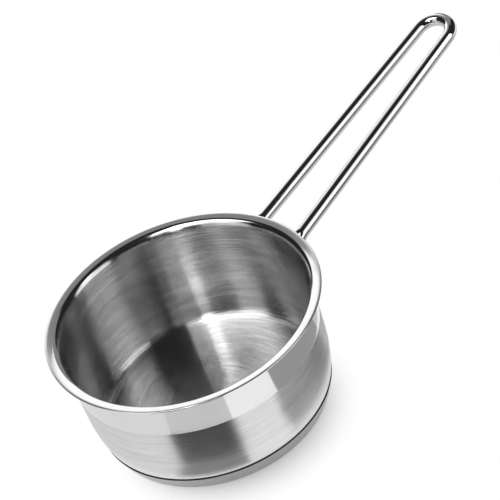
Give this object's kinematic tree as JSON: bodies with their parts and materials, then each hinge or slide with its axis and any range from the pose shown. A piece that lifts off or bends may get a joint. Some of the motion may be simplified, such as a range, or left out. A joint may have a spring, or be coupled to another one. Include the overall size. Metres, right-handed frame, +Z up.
{
  "type": "saucepan",
  "caption": "Small stainless steel saucepan with a flared pouring rim, a thick flat base and a long narrow loop handle bent from round rod; heats and pours small amounts.",
  "frame": {"origin": "on the pan's axis, at the flat underside that it stands on", "axes": "+Z up along the pan's axis, +X along the handle as seen from above"},
  "size_m": [0.3039, 0.1498, 0.0991],
  "materials": {
    "pan_steel": "stainless steel, brushed inside, satin outside with a polished band under the rim",
    "base_steel": "stainless steel, satin",
    "core_aluminium": "plain rolled aluminium",
    "braze_metal": "aluminium braze filler, dull",
    "handle_steel": "stainless steel rod, mirror polished",
    "weld_metal": "spot weld, dull"
  },
  "bodies": {
    "root": {"pan_body": "pan_steel", "base_cup": "base_steel", "base_core": "core_aluminium", "braze_lower": "braze_metal", "braze_upper": "braze_metal", "handle_rod": "handle_steel", "weld_left_upper": "weld_metal", "weld_left_lower": "weld_metal", "weld_right_upper": "weld_metal", "weld_right_lower": "weld_metal"}
  },
  "joints": []
}
